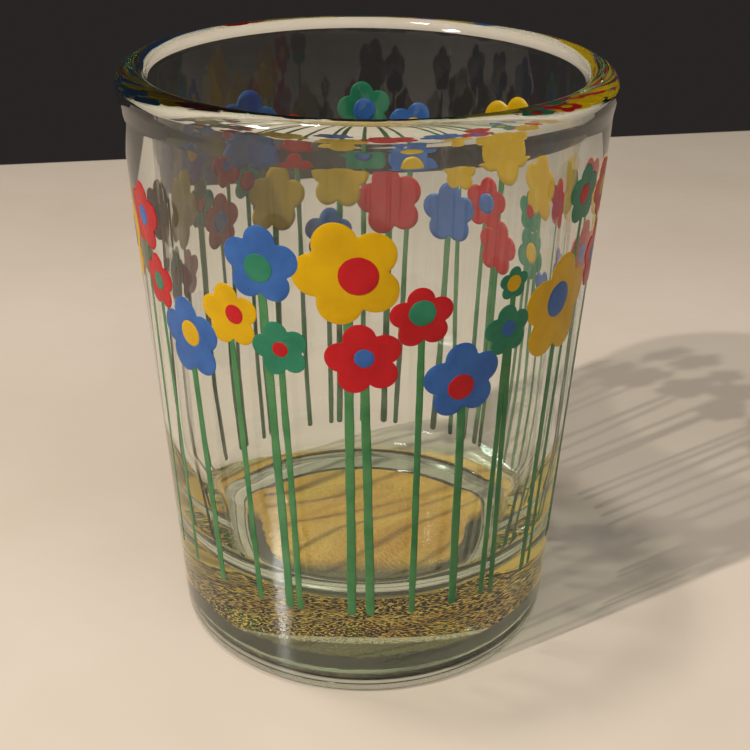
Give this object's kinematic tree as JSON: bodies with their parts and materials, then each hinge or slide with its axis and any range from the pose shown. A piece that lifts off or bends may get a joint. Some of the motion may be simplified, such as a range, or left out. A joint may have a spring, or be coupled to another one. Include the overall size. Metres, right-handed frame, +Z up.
{
  "type": "shot glass",
  "caption": "Small thick-walled drinking glass with a heavy base, printed all round with coloured enamel flowers on green stems.",
  "frame": {"origin": "centre of the foot, on the surface that the glass stands on", "axes": "+Z up along the glass's axis; -Y is the front, with the largest yellow flower; +X is to the right seen from the front"},
  "size_m": [0.0476, 0.0476, 0.06],
  "materials": {
    "clear_glass": "clear pressed soda-lime glass, fire-polished",
    "cork": "fine pressed cork, unvarnished",
    "yellow_enamel": "screen-printed glass enamel, satin gloss",
    "blue_enamel": "screen-printed glass enamel, satin gloss",
    "red_enamel": "screen-printed glass enamel, satin gloss",
    "green_enamel": "screen-printed glass enamel, satin gloss"
  },
  "bodies": {
    "root": {"glass_body": "clear_glass", "cork_disc": "cork", "yellow_petals": "yellow_enamel", "yellow_flower_eyes": "yellow_enamel", "blue_petals": "blue_enamel", "blue_flower_eyes": "blue_enamel", "red_petals": "red_enamel", "red_flower_eyes": "red_enamel", "green_petals": "green_enamel", "green_flower_eyes": "green_enamel", "green_stems": "green_enamel"}
  },
  "joints": []
}
